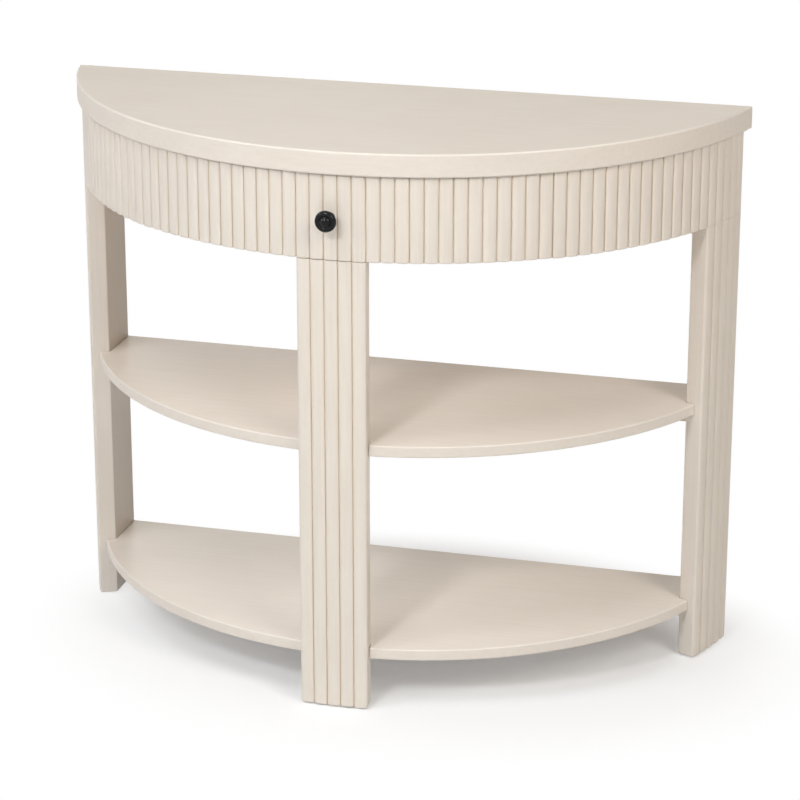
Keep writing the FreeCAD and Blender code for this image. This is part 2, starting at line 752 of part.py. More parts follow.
def channel(label, side, x, half_height, open_inwards):
    """A thin channel along the drawer, open towards the drawer or away from it."""
    low, high = x
    y = ("slide_front", "slide_back")
    bottom, upper = f"slide_level - {half_height}", f"slide_level + {half_height}"
    stock = box(label + "_stock", on_side(side, x), y, (bottom, upper))
    hollow_x = (low, f"{high} - slide_wall") if open_inwards else (f"{low} + slide_wall", high)
    hollow_z = (f"{bottom} + slide_wall", f"{upper} - slide_wall")
    hollow = box(label + "_hollow", on_side(side, hollow_x), y, hollow_z)
    return stock, hollow


def slides():
    outer_x = ("slide_outer_start", "runner_inner")
    middle_x = ("slide_middle_start", "slide_middle_end")
    inner_x = ("drawer_half", "slide_inner_end")
    for side in SIDES:
        outer = channel(f"{side}_slide_outer", side, outer_x, "slide_outer_half", True)
        middle = channel(f"{side}_slide_middle", side, middle_x, "slide_middle_half", True)
        inner = channel(f"{side}_slide_inner", side, inner_x, "slide_inner_half", False)
        keep(cut(f"{side}_slide_outer", *outer, frame_slide_screws))
        keep(cut(f"{side}_slide_middle", *middle))
        keep(cut(f"{side}_slide_inner", *inner, drawer_slide_screws))


INWARDS = {"left": RIGHT, "right": LEFT}
frame_slide_screws = keep(slide_screw_row(
    "frame_slide_screws", "runner_inner - slide_wall - small_screw_head_depth", SIDES))
drawer_slide_screws = keep(slide_screw_row(
    "drawer_slide_screws", "drawer_half + slide_wall + small_screw_head_depth", INWARDS))


# Drawer box, its reeded front and the knob

def drawer_bottom_screw_row():
    """Screws up through the drawer's bottom into its sides and back."""
    screws = []
    for side in SIDES:
        edge = signed(side, "drawer_half - drawer_side_thickness / 2")
        inner = signed(side, "drawer_half / 2")
        rear = "slide_back - drawer_back_thickness / 2"
        places = {
            "front": (edge, "slide_middle - slide_length * slide_screw_share"),
            "middle": (edge, "slide_middle"),
            "back": (inner, rear),
        }
        for name, (x, y) in places.items():
            at = (x, y, "drawer_underside")
            length = "drawer_bottom_thickness + bottom_screw_grip"
            screws.append(screw(f"bottom_screw_{side}_{name}", "small_screw", length, at, UP))
    return group("drawer_bottom_screws", screws)


def corner_screw_row():
    """Screws through the corner blocks into the curved front."""
    screws = []
    for side in SIDES:
        for end, sign in (("a", "-"), ("b", "+")):
            at = (signed(side, "corner_screw_across"), "corner_block_back",
                  f"slide_level {sign} drawer_side_height * corner_screw_share")
            length = "corner_block_back - corner_screw_seat + corner_screw_grip"
            screws.append(screw(f"corner_screw_{side}_{end}", "small_screw", length, at, FRONT))
    return group("drawer_front_screws", screws)


KNOB_PROFILE = [
    ("0", "0"),
    ("knob_base_radius", "0"),
    ("knob_base_radius", "knob_base_thickness"),
    ("knob_stem_radius", "knob_stem_start"),
    ("knob_stem_radius", "knob_stem_end"),
    ("(knob_radius + knob_stem_radius) / 2", "knob_swell_end"),
    ("knob_radius", "knob_rim_start"),
    ("knob_radius", "knob_rim_end"),
    ("knob_face_radius", "knob_face_level"),
    ("knob_dish_radius", "knob_face_level"),
    ("knob_dish_radius", "knob_dish_level"),
    ("0", "knob_dish_level"),
]


def knob_and_screw():
    seat = ("0", "knob_seat", "knob_level")
    head_face = ("0", "centre - apron_inner + knob_screw_head_depth - knob_screw_sink", "knob_level")
    length = "knob_screw_head_depth - knob_screw_sink + apron_thickness + reed_height + knob_screw_grip"
    knob_screw = round_head_screw("knob_screw", "knob_screw", length, head_face, FRONT)
    dome = add("Part::Ellipsoid", "knob_dome")
    dome.Placement = FreeCAD.Placement(FreeCAD.Vector(), FRONT)
    bind(dome, Radius1="knob_reach - knob_dish_level", Radius2="knob_dome_radius", Radius3="knob_dome_radius")
    place(dome, "0", "knob_seat - knob_dish_level", "knob_level")
    rounded_beyond = "(knob_dish_radius + knob_face_radius) / 2"
    turning = turned("knob_body", KNOB_PROFILE, seat, FRONT, rounded_beyond, "knob_round")
    keep(cut("knob", fuse("knob_whole", turning, dome), knob_screw))
    return keep(knob_screw)


def drawer():
    bottom_screws = keep(drawer_bottom_screw_row())
    front_screws = keep(corner_screw_row())
    knob_screw = knob_and_screw()

    front_angles = ("-drawer_half_angle + seam_half_angle", "drawer_half_angle - seam_half_angle")
    front_height = ("apron_bottom + drawer_seam", "top_under - drawer_seam")
    front = arc_board("drawer_front_bend", "core_radius", "apron_thickness", front_angles, front_height)
    keep(cut("drawer_front_core", front, front_screws, knob_screw))
    first_reed = "-drawer_half_angle + pitch_angle / 2"
    strips = reeds("drawer_front_strips", "drawer_reed_count", first_reed, front_height)
    keep(cut("drawer_front_reeds", strips, knob_screw))

    box_depth = ("centre - apron_inner", "slide_back")
    for side in SIDES:
        across = on_side(side, ("drawer_inside", "drawer_half"))
        stock = box(f"drawer_{side}_stock", across, box_depth, DRAWER_SIDE_HEIGHT)
        curve = drum(f"drawer_{side}_fit", "apron_inner", DRAWER_SIDE_HEIGHT)
        fitted = common(f"drawer_{side}_fitted", stock, curve)
        keep(cut(f"drawer_{side}_side", fitted, bottom_screws, drawer_slide_screws))

    back = box("drawer_back_stock", ("-drawer_inside", "drawer_inside"),
               ("slide_back - drawer_back_thickness", "slide_back"), DRAWER_SIDE_HEIGHT)
    keep(cut("drawer_back", back, bottom_screws))

    bottom_height = ("drawer_underside", "drawer_side_bottom")
    bottom = box("drawer_bottom_stock", ("-drawer_half", "drawer_half"), box_depth, bottom_height)
    fitted = common("drawer_bottom_fitted", bottom, drum("drawer_bottom_fit", "apron_inner", bottom_height))
    keep(cut("drawer_bottom", fitted, bottom_screws))

    blocks = []
    for side in SIDES:
        across = on_side(side, ("drawer_inside - corner_block_width", "drawer_inside"))
        along = ("centre - apron_inner", "corner_block_back")
        stock = box(f"corner_{side}_stock", across, along, DRAWER_SIDE_HEIGHT)
        curve = drum(f"corner_{side}_fit", "apron_inner", DRAWER_SIDE_HEIGHT)
        blocks.append(common(f"corner_{side}_block", stock, curve))
    keep(cut("drawer_corner_blocks", group("corner_block_pair", blocks), front_screws))


legs()
apron()
carcass()
shelves()
cleats()
slides()
drawer()

# Checks and export

doc.recompute()
failed = [thing.Label for thing in doc.Objects if {"Invalid", "Error"} & set(thing.State)]
shapes = {piece.Label: piece.Shape for piece in parts}
empty = [name for name, shape in shapes.items() if shape.isNull() or not shape.Solids]
unsound = [name for name, shape in shapes.items() if name not in empty and not shape.isValid()]
if failed or empty or unsound:
    raise RuntimeError(f"failed objects {failed}, empty shapes {empty}, unsound shapes {unsound}")

os.makedirs("parts", exist_ok=True)
for name, shape in shapes.items():
    shape.exportStep(f"parts/{name}.step")
print(len(shapes), "sub-parts,", sum(len(shape.Solids) for shape in shapes.values()), "solids")
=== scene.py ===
# %% [markdown]
# # A half-moon console table in cream paint
#
# The table has a half-moon top, an apron faced with flat-crowned reeds, a curved drawer with one black
# knob, three reeded legs and two open shelves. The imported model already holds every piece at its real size
# and place, so this lesson only dresses it: it rounds what a plane and paint would round, gives each
# surface its finish, and lights it like a plain studio picture.

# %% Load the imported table
import math

import bmesh
import bpy
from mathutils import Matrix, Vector


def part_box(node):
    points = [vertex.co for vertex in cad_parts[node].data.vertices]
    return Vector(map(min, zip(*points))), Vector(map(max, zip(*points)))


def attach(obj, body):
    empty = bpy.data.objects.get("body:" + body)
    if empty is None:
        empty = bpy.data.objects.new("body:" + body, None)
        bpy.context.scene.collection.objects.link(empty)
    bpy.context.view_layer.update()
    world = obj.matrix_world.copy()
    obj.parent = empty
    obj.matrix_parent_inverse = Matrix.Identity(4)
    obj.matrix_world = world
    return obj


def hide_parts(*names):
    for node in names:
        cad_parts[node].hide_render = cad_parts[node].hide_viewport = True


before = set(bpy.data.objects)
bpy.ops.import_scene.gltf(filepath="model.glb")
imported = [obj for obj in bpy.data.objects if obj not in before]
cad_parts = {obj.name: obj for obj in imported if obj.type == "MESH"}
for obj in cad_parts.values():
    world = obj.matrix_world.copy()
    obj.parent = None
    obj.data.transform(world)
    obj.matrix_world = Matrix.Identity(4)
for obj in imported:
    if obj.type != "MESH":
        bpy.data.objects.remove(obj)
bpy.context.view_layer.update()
scene = bpy.context.scene
scene.view_settings.view_transform = "Standard"

# %% [markdown]
# ## The curve that everything follows
#
# Top, apron, drawer front, shelves and legs all follow circles about one centre behind the table. A circle
# through the top's two back corners and its front edge is fixed by the top's width and depth, so the boxes
# of a few nodes give every radius. Only the counts of reeds and the gap between two reeds are repeated from
# the CAD source, here and further down, because no box shows them.

# %% Measure the curve
MM = 0.001
top_low, top_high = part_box("top_panel")
half_width = top_high.x
top_depth = top_high.y - top_low.y
top_radius = (half_width ** 2 + top_depth ** 2) / (2 * top_depth)
centre_y = top_low.y + top_radius
crest_radius = centre_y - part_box("front_leg_reeds")[0].y
core_radius = centre_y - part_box("front_leg_core")[0].y
half_span = math.acos((centre_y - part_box("back_rail")[1].y) / core_radius)
SIDE_REEDS = 19
DRAWER_REEDS = 31
reed_pitch = 2 * half_span / (2 * SIDE_REEDS + DRAWER_REEDS)
print(f"top radius {top_radius:.4f}, core radius {core_radius:.4f}")
print(f"reed pitch {math.degrees(reed_pitch):.3f} degrees")

# %% [markdown]
# ## The camera
#
# The picture was taken with a long lens from the front right, a little above the top. A slight lens shift
# helps to keep the legs upright, the way a product photographer slides the lens before tilting the camera.

# %% Set the camera
CAMERA_AZIMUTH = math.radians(15.17)
CAMERA_ELEVATION = math.radians(18.76)
CAMERA_DISTANCE = 3.9
CAMERA_TARGET = Vector((0.032, 0.0475, 0.407))
LENS = 130.1
SENSOR_WIDTH = 36
LENS_SHIFT = -0.04

view = bpy.data.objects.new("camera", bpy.data.cameras.new("camera"))
scene.collection.objects.link(view)
outwards = Vector((math.cos(CAMERA_ELEVATION) * math.sin(CAMERA_AZIMUTH),
                   -math.cos(CAMERA_ELEVATION) * math.cos(CAMERA_AZIMUTH),
                   math.sin(CAMERA_ELEVATION)))
view.location = CAMERA_TARGET + CAMERA_DISTANCE * outwards
view.rotation_euler = outwards.to_track_quat("Z", "Y").to_euler()
view.data.lens = LENS
view.data.sensor_width = SENSOR_WIDTH
view.data.shift_y = LENS_SHIFT
scene.camera = view
print("camera at", [round(number, 3) for number in view.location])

# %% [markdown]
# ## Writing shaders and node trees as sums
#
# A material is a tree of nodes. Wiring it by hand takes a line for each link, so one small class stands for
# a socket: adding or multiplying two of them adds the Math node between them, and `node` adds any other
# kind. The same class builds the geometry trees further down, because both trees share the Math node.

# %% A socket that can be added and multiplied
# The Mix node has a set of sockets for each kind of value. These are its sockets for colours.
MIX_SHARE, MIX_FIRST, MIX_SECOND, MIX_RESULT = 0, 6, 7, 2


class Wire:
    """A socket of a node tree. Arithmetic on wires adds Math nodes to the tree."""

    def __init__(self, tree, socket=None):
        self.tree = tree
        self.socket = socket

    def node(self, kind, sockets=None, output=0, **settings):
        """Adds a node: its settings first, then the values or wires of its sockets."""
        made = self.tree.nodes.new(kind)
        for name, value in settings.items():
            setattr(made, name, value)
        for name, value in (sockets or {}).items():
            for single in value if isinstance(value, list) else [value]:
                if isinstance(single, Wire):
                    self.tree.links.new(single.socket, made.inputs[name])
                else:
                    made.inputs[name].default_value = single
        return Wire(self.tree, made.outputs[output] if made.outputs else None)

    def math(self, operation, first, second=0.0):
        """Adds a Math node, for the operators below and for any other operation."""
        return self.node("ShaderNodeMath", {0: first, 1: second}, operation=operation)

    def __add__(self, other):
        return self.math("ADD", self, other)

    def __sub__(self, other):
        return self.math("SUBTRACT", self, other)

    def __rsub__(self, other):
        return self.math("SUBTRACT", other, self)

    def __mul__(self, other):
        return self.math("MULTIPLY", self, other)

    def __truediv__(self, other):
        return self.math("DIVIDE", self, other)

    def __gt__(self, other):
        return self.math("GREATER_THAN", self, other)

    def __lt__(self, other):
        return self.math("LESS_THAN", self, other)

    __radd__ = __add__
    __rmul__ = __mul__

    def smooth(self, low, high):
        """0 below low, 1 above high, with a soft step between."""
        return self.node("ShaderNodeMapRange", {"Value": self, "From Min": low, "From Max": high},
                         interpolation_type="SMOOTHSTEP")

    def mix(self, first, second):
        """A colour between two colours, with this wire as the share of the second."""
        return self.node("ShaderNodeMix", {MIX_SHARE: self, MIX_FIRST: first, MIX_SECOND: second},
                         output=MIX_RESULT, data_type="RGBA")

    def ranged(self, least, extent):
        """A value that starts at least and grows by extent as this wire goes from 0 to 1."""
        return least + extent * self


def new_finish(name):
    """An empty material, and a wire to start from."""
    finish = bpy.data.materials.new(name)
    finish.use_nodes = True
    finish.node_tree.nodes.clear()
    return finish, Wire(finish.node_tree)


def rgb(red, green, blue):
    return (red, green, blue, 1)


print("shader helper ready")

# %% [markdown]
# ## Floor and studio light
#
# The table stands on a white sweep. A real studio lights the sweep more than the table. Here the floor is
# plain white paint that catches the shadow. Only for rays that come from the eye is it lifted a little, and
# further out up to white. So the table gets no extra light from the trick, and its shadow stays soft and
# grey. The shadow lies back and to the right, and the white begins round a point there.

# %% Lay the floor
FLOOR_HALF = 14.0
FLOOR_DROP = 0.2 * MM
WHITE = rgb(1, 1, 1)
FLOOR_WHITE = rgb(0.85, 0.87, 0.905)
SHADOW_CENTRE = (0.05, 0.08)
SHADOW_SPREAD = (0.62, 0.42)
SHADOW_FADE = (0.5, 0.95)
FLOOR_LIFT = 0.155


def seen_directly(start):
    """1 for rays from the eye, also by way of a mirror or glass, and 0 for the light that bounces."""
    rays = ("Camera", "Glossy", "Transmission")
    path = [start.node("ShaderNodeLightPath", output=f"Is {kind} Ray") for kind in rays]
    return start.math("MAXIMUM", start.math("MAXIMUM", path[0], path[1]), path[2])


def floor_finish():
    finish, start = new_finish("studio_floor")
    seen = seen_directly(start)
    spot = start.node("ShaderNodeTexCoord", output="Object")
    wide, deep = SHADOW_SPREAD
    right, back = SHADOW_CENTRE
    oval = start.node("ShaderNodeVectorMath",
                      {0: spot, 1: (1 / wide, 1 / deep, 0), 2: (-right / wide, -back / deep, 0)},
                      operation="MULTIPLY_ADD")
    reach = start.node("ShaderNodeVectorMath", {0: oval}, output="Value", operation="LENGTH")
    paint = start.node("ShaderNodeBsdfDiffuse", {"Color": FLOOR_WHITE})
    lift = start.node("ShaderNodeEmission", {"Color": WHITE, "Strength": seen * FLOOR_LIFT})
    lit = start.node("ShaderNodeAddShader", {0: paint, 1: lift})
    glow = start.node("ShaderNodeEmission", {"Color": WHITE})
    far = start.node("ShaderNodeMixShader", {0: seen * reach.smooth(*SHADOW_FADE), 1: lit, 2: glow})
    start.node("ShaderNodeOutputMaterial", {"Surface": far})
    return finish


floor_mesh = bpy.data.meshes.new("floor")
signs = [(-1, -1), (1, -1), (1, 1), (-1, 1)]
corners = [(FLOOR_HALF * x, FLOOR_HALF * y, -FLOOR_DROP) for x, y in signs]
floor_mesh.from_pydata(corners, [], [(0, 1, 2, 3)])
floor = bpy.data.objects.new("floor", floor_mesh)
floor_mesh.materials.append(floor_finish())
scene.collection.objects.link(floor)
print("floor", 2 * FLOOR_HALF, "m square")

# %% [markdown]
# Two kinds of light reach the table. The first is a dim, warm room, brighter high in front of the table,
# which fills the shadows. The world's background gives it without any lamp, and for rays from the eye the
# same background is plain white.

# %% Light the room
ROOM_DIM = rgb(0.16, 0.115, 0.07)
ROOM_BRIGHT = rgb(0.30, 0.296, 0.288)
BRIGHT_SIDE = Vector((0, -0.75, 0.66))
BRIGHT_FADE = (0.3, 1.0)


def graded_room():
    """A world that is plain white to the eye and gives a graded light."""
    room = bpy.data.worlds.new("studio")
    room.use_nodes = True
    room.node_tree.nodes.clear()
    start = Wire(room.node_tree)
    towards = start.node("ShaderNodeTexCoord", output="Generated")
    nearness = start.node("ShaderNodeVectorMath", {0: towards, 1: BRIGHT_SIDE}, output="Value",
                          operation="DOT_PRODUCT")
    shade = nearness.smooth(*BRIGHT_FADE).mix(ROOM_DIM, ROOM_BRIGHT)
    glow = start.node("ShaderNodeBackground", {"Color": seen_directly(start).mix(shade, WHITE)})
    start.node("ShaderNodeOutputWorld", {"Surface": glow})
    return room


scene.world = graded_room()
print("a graded room fills the shadows")

# %% [markdown]
# Five lamps do the rest. The main one stands nearly in front, a little to the left: it puts the spark on the
# knob and lays the front leg's shadow back across the shelves. A wide lamp high above lights the top, one on
# each side reaches the ends of the apron, and a low one behind shows the back to anyone who walks round. All
# are discs, because a small disc gives a round spark and a wide one a soft shadow.

# %% Hang the lamps
LAMP_WHITE = (1.0, 1.0, 1.0)
LAMP_WARM = (1.0, 0.95, 0.87)
LAMPS = {
    "key": {"at": (-0.51, -2.87, 2.57), "size": 0.6, "power": 36.0, "colour": LAMP_WHITE},
    "upper": {"at": (-0.9, -1.7, 3.9), "size": 1.8, "power": 33.0, "colour": LAMP_WHITE},
    "left": {"at": (-3.0, -2.2, 2.3), "size": 1.6, "power": 25.0, "colour": LAMP_WHITE},
    "right": {"at": (2.8, -2.0, 2.9), "size": 1.8, "power": 60.0, "colour": LAMP_WARM},
    "back": {"at": (-1.2, 3.6, 0.5), "size": 1.0, "power": 22.0, "colour": LAMP_WHITE},
}
LAMP_AIM = Vector((0, 0, 0.45))

for name, lamp in LAMPS.items():
    light = bpy.data.lights.new(name, "AREA")
    light.shape = "DISK"
    light.size = lamp["size"]
    light.energy = lamp["power"]
    light.color = lamp["colour"]
    holder = bpy.data.objects.new(name, light)
    holder.location = lamp["at"]
    holder.rotation_euler = (holder.location - LAMP_AIM).to_track_quat("Z", "Y").to_euler()
    scene.collection.objects.link(holder)
print(len(LAMPS), "lamps:", ", ".join(LAMPS))

# %% [markdown]
# ## Noise, the start of every finish
#
# No real surface has one flat tone. Wood fibres and drawn metal run one way, and other marks lie in clouds.
# Pictures could show both, but noise needs no file and no unwrapping, and on Object coordinates it follows
# its piece in every pose. So one helper draws a noise out along the grain, one leaves it round, and a third
# closes a finish with a shader and a bump.
#
# In the finishes below, a step is the range of a noise over which its mark appears, and a share is its part
# in the tone. A roughness or a range is a pair: the least value, and how much the noise adds.

# %% Helpers for the finishes
AXES = "XYZ"
STREAK_DETAIL = 3.0
MOTTLE_DETAIL = 4.0
BUMP_STRENGTH = 0.5


def streaks(start, along, rate, length, detail=STREAK_DETAIL):
    """Noise drawn out along one axis to this many times its width, as wood fibres are."""
    scale = tuple(rate / length if axis == along else rate for axis in AXES)
    spot = start.node("ShaderNodeTexCoord", output="Object")
    drawn = start.node("ShaderNodeMapping", {"Vector": spot, "Scale": scale})
    return start.node("ShaderNodeTexNoise", {"Vector": drawn, "Scale": 1.0, "Detail": detail})


def mottling(start, rate):
    """Noise in round clouds."""
    spot = start.node("ShaderNodeTexCoord", output="Object")
    return start.node("ShaderNodeTexNoise", {"Vector": spot, "Scale": rate, "Detail": MOTTLE_DETAIL})


def coat(start, colour, roughness, height, depth, **constants):
    """Closes a finish: colour, roughness and a bump of this depth, with any constants on the shader."""
    bump = start.node("ShaderNodeBump", {"Strength": BUMP_STRENGTH, "Distance": depth, "Height": height})
    sockets = {"Base Color": colour, "Roughness": roughness, "Normal": bump}
    sockets.update({name.replace("_", " "): value for name, value in constants.items()})
    shader = start.node("ShaderNodeBsdfPrincipled", sockets)
    start.node("ShaderNodeOutputMaterial", {"Surface": shader})


print("noise for grain along", ", ".join(AXES))

# %% [markdown]
# ## Cream paint
#
# The wood is painted a warm cream in satin, thin enough that the grain still shows through as hair-fine
# streaks. The tone wanders a little, and a tan glaze has stayed in the grooves between the reeds. Rounded
# edges that face upwards get a painted highlight in a paler cream. Streaks run with the grain, so each board
# gets the paint of its own grain direction. Grooves and the painted edge highlight come from attributes of
# the meshes, because only the shape knows where they are.

# %% Mix the paint
CREAM_LIGHT = rgb(0.810, 0.754, 0.688)
CREAM_DEEP = rgb(0.760, 0.700, 0.630)
# The paler cream is a painted highlight for rounded edges that face upwards.
CREAM_EDGE_HIGHLIGHT = rgb(0.840, 0.792, 0.730)
GROOVE_TAN = rgb(0.745, 0.640, 0.490)
STREAK_RATE = 900.0
STREAK_LENGTH = 60.0
STREAK_STEP = (0.3, 0.7)
STREAK_SHARE = 0.35
GRAIN_RATE = 210.0
GRAIN_LENGTH = 26.0
GRAIN_STEP = (0.35, 0.65)
GRAIN_SHARE = 0.35
MOTTLE_RATE = 9.0
MOTTLE_STEP = (0.35, 0.65)
MOTTLE_SHARE = 0.3
EDGE_HIGHLIGHT_RANGE = (0.7, 0.6)
GROOVE_STEP = (0.3, 0.95)
GLAZE_RANGE = (0.75, 0.5)
PAINT_ROUGHNESS = (0.40, 0.14)
PAINT_RELIEF = 0.12 * MM


def cream_paint(along):
    finish, start = new_finish("cream_paint_" + along.lower())
    streak = streaks(start, along, STREAK_RATE, STREAK_LENGTH)
    grain = streaks(start, along, GRAIN_RATE, GRAIN_LENGTH)
    mottle = mottling(start, MOTTLE_RATE)
    groove = start.node("ShaderNodeAttribute", output="Fac", attribute_name="groove")
    rubbed = start.node("ShaderNodeAttribute", output="Fac", attribute_name="rubbed")
    fibres = STREAK_SHARE * streak.smooth(*STREAK_STEP) + GRAIN_SHARE * grain.smooth(*GRAIN_STEP)
    tone = fibres + MOTTLE_SHARE * mottle.smooth(*MOTTLE_STEP)
    # Painted highlight: the marked edge faces are mixed towards the paler cream.
    cream = (rubbed * mottle.ranged(*EDGE_HIGHLIGHT_RANGE)).mix(tone.mix(CREAM_DEEP, CREAM_LIGHT), CREAM_EDGE_HIGHLIGHT)
    # The tan goes where the mark is set: glaze in the grooves, and painted shade all over the cleats.
    glaze_and_shade_share = groove.smooth(*GROOVE_STEP) * mottle.ranged(*GLAZE_RANGE)
    coat(start, glaze_and_shade_share.mix(cream, GROOVE_TAN), streak.ranged(*PAINT_ROUGHNESS), streak, PAINT_RELIEF)
    return finish


paint = {axis: cream_paint(axis) for axis in AXES}
print("paint for grain along", ", ".join(paint))

# %% [markdown]
# ## Bare wood inside
#
# Deck, drawer box, runner panels and blocks are not painted: they are pale wood under a clear lacquer.
# Growth rings cut lengthwise show as long bands, so the bands are a stretched noise pushed through a sine,
# with fine dark pores along the same grain.

# %% Lacquer the bare wood
WOOD_PALE = rgb(0.68, 0.50, 0.31)
WOOD_DARK = rgb(0.50, 0.33, 0.18)
RING_RATE = 26.0
RING_LENGTH = 14.0
RING_DETAIL = 2.0
RING_STEP = (0.1, 1.0)
RING_SHARE = 0.6
RINGS = 9.0
PORE_RATE = 1400.0
PORE_LENGTH = 90.0
PORE_STEP = (0.35, 0.7)
PORE_SHARE = 0.4
WOOD_ROUGHNESS = (0.38, 0.16)
WOOD_RELIEF = 0.08 * MM


def lacquered_wood(along):
    finish, start = new_finish("lacquered_wood_" + along.lower())
    drift = streaks(start, along, RING_RATE, RING_LENGTH, detail=RING_DETAIL)
    ring = 0.5 + 0.5 * start.math("SINE", drift * (RINGS * 2 * math.pi))
    pore = streaks(start, along, PORE_RATE, PORE_LENGTH)
    grain = RING_SHARE * ring.smooth(*RING_STEP) + PORE_SHARE * pore.smooth(*PORE_STEP)
    coat(start, grain.mix(WOOD_PALE, WOOD_DARK), pore.ranged(*WOOD_ROUGHNESS), pore, WOOD_RELIEF)
    return finish


wood = {axis: lacquered_wood(axis) for axis in AXES}
print("lacquered wood for grain along", ", ".join(wood))

# %% [markdown]
# ## Zinc-plated steel
#
# Slides and screws are steel under a thin coat of zinc. Drawing leaves fine lines along the metal, and the
# plating clouds a little. The lines are streaks along the slides. The clouds also change the roughness,
# because plated steel is not equally bright all over.

# %% Plate the steel
STEEL_DARK = rgb(0.50, 0.51, 0.53)
STEEL_PALE = rgb(0.72, 0.73, 0.75)
DRAWN_RATE = 1200.0
DRAWN_LENGTH = 80.0
DRAWN_SHARE = 0.6
CLOUD_RATE = 60.0
CLOUD_SHARE = 0.4
STEEL_ROUGHNESS = (0.24, 0.22)
STEEL_RELIEF = 0.02 * MM


def zinc_steel():
    finish, start = new_finish("zinc_steel")
    drawn = streaks(start, "Y", DRAWN_RATE, DRAWN_LENGTH)
    cloud = mottling(start, CLOUD_RATE)
    colour = (DRAWN_SHARE * drawn + CLOUD_SHARE * cloud).mix(STEEL_DARK, STEEL_PALE)
    coat(start, colour, cloud.ranged(*STEEL_ROUGHNESS), drawn, STEEL_RELIEF, Metallic=1.0)
    return finish


steel = zinc_steel()
print(steel.name, "ready")

# %% [markdown]
# ## Black metal
#
# The knob is cast metal in black paint with a slightly pebbled skin, rubbed a little thinner in places. The
# pebbles are too fine to model, so they are a bump. The shader's specular level is low, because the white
# room would otherwise turn the black grey.

# %% Paint the knob's metal
BLACK_DEEP = rgb(0.003, 0.003, 0.0035)
BLACK_RUBBED = rgb(0.009, 0.0088, 0.0085)
PEBBLE_RATE = 900.0
WEAR_RATE = 110.0
WEAR_STEP = (0.45, 0.7)
BLACK_ROUGHNESS = (0.14, 0.08)
BLACK_RELIEF = 0.04 * MM
BLACK_SPECULAR = 0.24


def black_knob():
    finish, start = new_finish("black_satin_metal")
    pebble = mottling(start, PEBBLE_RATE)
    wear = mottling(start, WEAR_RATE).smooth(*WEAR_STEP)
    colour = wear.mix(BLACK_DEEP, BLACK_RUBBED)
    coat(start, colour, wear.ranged(*BLACK_ROUGHNESS), pebble, BLACK_RELIEF,
         Specular_IOR_Level=BLACK_SPECULAR)
    return finish


black = black_knob()
print(black.name, "ready")

# %% [markdown]
# ## Plastic glides
#
# The glides under the legs are moulded plastic, and a mould leaves a fine, even skin. One small noise gives
# the colour, the roughness and the bump, because the same tiny hollows cause all three.

# %% Mould the plastic
PLASTIC_DARK = rgb(0.20, 0.19, 0.18)
PLASTIC_PALE = rgb(0.27, 0.26, 0.25)
SKIN_RATE = 1500.0
PLASTIC_ROUGHNESS = (0.55, 0.2)
PLASTIC_RELIEF = 0.05 * MM


def glide_plastic():
    finish, start = new_finish("glide_plastic")
    hollows = mottling(start, SKIN_RATE)
    colour = hollows.mix(PLASTIC_DARK, PLASTIC_PALE)
    coat(start, colour, hollows.ranged(*PLASTIC_ROUGHNESS), hollows, PLASTIC_RELIEF)
    return finish


plastic = glide_plastic()
print(plastic.name, "ready")

# %% [markdown]
# ## Reeds
#
# A reed is a strip with a flattish crown and rounded shoulders, glued to the curved core, with its ends
# eased by sanding. The apron has a row on each side and the drawer front one. All follow one rule, so one
# geometry tree makes them: it bends a grid into a closed reed, stores how near each point is to the groove,
# and sets copies round the curve. Its section is a superellipse, which is flatter than a circle and fuller
# than a bevelled board.

# %% A geometry tree with named inputs
SHARP = math.radians(40)


def new_tree(name, inputs):
    """An empty geometry tree with these inputs, and a wire for each of them."""
    tree = bpy.data.node_groups.new(name, "GeometryNodeTree")
    for label, kind in {"Geometry": "Geometry", **inputs}.items():
        tree.interface.new_socket(label, in_out="INPUT", socket_type="NodeSocket" + kind)
    tree.interface.new_socket("Geometry", in_out="OUTPUT", socket_type="NodeSocketGeometry")
    entry = tree.nodes.new("NodeGroupInput")
    return tree, {socket.name: Wire(tree, socket) for socket in entry.outputs if socket.name}


def grown(name, tree, values, seeds=None):
    """Runs a tree with these input values, and keeps the result as a plain mesh."""
    piece = bpy.data.objects.new(name, seeds or bpy.data.meshes.new(name))
    scene.collection.objects.link(piece)
    growth = piece.modifiers.new("growth", "NODES")
    growth.node_group = tree
    for item in tree.interface.items_tree:
        if item.in_out == "INPUT" and item.name in values:
            growth[item.identifier] = values[item.name]
    evaluated = piece.evaluated_get(bpy.context.evaluated_depsgraph_get())
    mesh = bpy.data.meshes.new_from_object(evaluated)
    piece.modifiers.remove(growth)
    piece.data = mesh
    return piece


def crisp(start, shape):
    """Smooth faces, with the sharp edges kept sharp."""
    soft = start.node("GeometryNodeSetShadeSmooth", {0: shape, "Shade Smooth": True}, domain="FACE")
    edge = start.node("GeometryNodeInputMeshEdgeAngle", output="Unsigned Angle")
    return start.node("GeometryNodeSetShadeSmooth",
                      {0: soft, "Selection": edge > SHARP, "Shade Smooth": False}, domain="EDGE")


print("geometry trees can be built")

# %% [markdown]
# The grid's columns run across the reed, and two more close its flat back. Its rows run along the reed: the
# first and last shrink to a point and so close the ends, and those after them turn through the eased end.

# %% Build the reed row
FRONT_COLUMNS = 17
END_ROWS = 4
FULLNESS = 2.6
CROWN = 2 / FULLNESS
COLUMNS = FRONT_COLUMNS + 2
ROWS = 2 * (END_ROWS + 1)
WELD = 0.005 * MM
REED_NUMBERS = ("Pitch", "Centre", "Core radius", "Width", "Height", "Low", "High", "Ease", "Ease length")
REED_INPUTS = {"Count": "Int", "First": "Int", **dict.fromkeys(REED_NUMBERS, "Float"), "Paint": "Material"}


